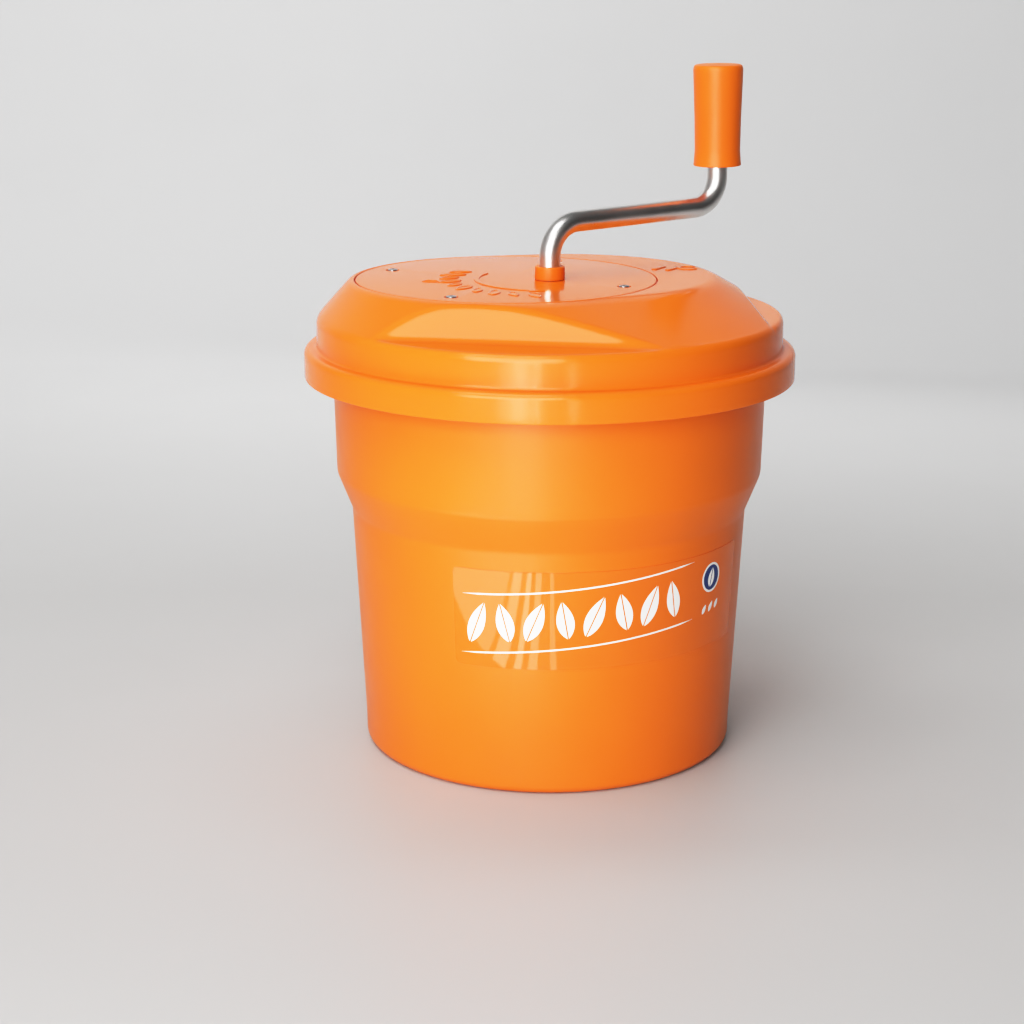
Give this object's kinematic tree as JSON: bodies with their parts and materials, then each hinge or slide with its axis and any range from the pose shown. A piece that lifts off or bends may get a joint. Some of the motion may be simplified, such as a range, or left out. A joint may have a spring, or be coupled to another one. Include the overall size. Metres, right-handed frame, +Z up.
{
  "type": "salad spinner",
  "caption": "Large hand-cranked salad spinner: round tub, slotted basket, stepped geared lid with an off-centre cover plate, bent tube crank and upright turning grip.",
  "frame": {"origin": "centre of the tub's underside, on the axis that the basket and the crank turn about", "axes": "+Z up along the crank's axis, -Y towards the front, +X to the right"},
  "size_m": [0.43, 0.43, 0.5942],
  "materials": {
    "orange_gloss": "glossy",
    "orange_satin": "satin",
    "steel_tube": "satin",
    "steel_parts": "satin",
    "white_plastic": "satin",
    "natural_nylon": "matt",
    "bronze_bush": "satin",
    "seal_rubber": "matt",
    "clear_film": "glossy"
  },
  "bodies": {
    "tub": {"tub": "orange_satin", "pivot_pin": "steel_parts", "pivot_washer": "natural_nylon", "pivot_clip": "steel_parts", "label_film": "clear_film"},
    "hub": {"pivot_hub": "natural_nylon", "hub_bush": "bronze_bush"},
    "basket": {"basket": "white_plastic"},
    "basket_lid": {"basket_lid": "orange_satin", "drive_socket": "natural_nylon"},
    "lid": {"lid_shell": "orange_gloss", "lid_seal": "seal_rubber", "gear_case": "white_plastic", "case_screws": "steel_parts", "cover_plate": "orange_gloss", "cover_screws": "steel_parts", "crank_bush": "natural_nylon", "spindle_bush": "natural_nylon", "idler_shaft": "steel_parts", "idler_washer": "steel_parts", "idler_clip": "steel_parts"},
    "crank": {"crank_tube": "steel_tube", "crank_collar": "orange_gloss", "crank_washer": "steel_parts", "crank_gear": "natural_nylon", "crank_pin": "steel_parts", "grip_clip": "steel_parts"},
    "grip": {"grip": "orange_gloss", "grip_bush": "natural_nylon"},
    "idler": {"idler_gear": "natural_nylon", "idler_bush": "bronze_bush"},
    "spindle": {"drive_spindle": "steel_parts", "output_pinion": "natural_nylon", "spindle_clip": "steel_parts"}
  },
  "joints": [
    {"name": "lid_lift", "type": "slide", "parent": "tub", "child": "lid", "axis": [0, 0, 1], "range_m": [0, 0.8]},
    {"name": "crank_spin", "type": "hinge", "parent": "lid", "child": "crank", "pos_m": [0, 0, 0.42], "axis": [0, 0, 1], "continuous": true},
    {"name": "grip_spin", "type": "hinge", "parent": "crank", "child": "grip", "pos_m": [0.1521, 0.1105, 0.46668], "axis": [-0.0141, -0.0103, 0.9998], "continuous": true},
    {"name": "idler_spin", "type": "hinge", "parent": "lid", "child": "idler", "pos_m": [-0.08863, -0.01563, 0.38], "axis": [0, 0, 1], "continuous": true},
    {"name": "spindle_spin", "type": "hinge", "parent": "lid", "child": "spindle", "pos_m": [0, 0, 0.37], "axis": [0, 0, 1], "continuous": true},
    {"name": "basket_spin", "type": "hinge", "parent": "tub", "child": "hub", "pos_m": [0, 0, 0.03], "axis": [0, 0, 1], "continuous": true},
    {"name": "basket_lift", "type": "slide", "parent": "hub", "child": "basket", "axis": [0, 0, 1], "range_m": [0, 0.36]},
    {"name": "basket_lid_lift", "type": "slide", "parent": "basket", "child": "basket_lid", "axis": [0, 0, 1], "range_m": [0, 0.2]}
  ],
  "couplings": [
    {"joint": "idler_spin", "follows": "crank_spin", "ratio": -2},
    {"joint": "spindle_spin", "follows": "crank_spin", "ratio": 3},
    {"joint": "basket_spin", "follows": "crank_spin", "ratio": 3},
    {"joint": "basket_lift", "follows": "lid_lift", "ratio": 0.45},
    {"joint": "basket_lid_lift", "follows": "lid_lift", "ratio": 0.25}
  ]
}
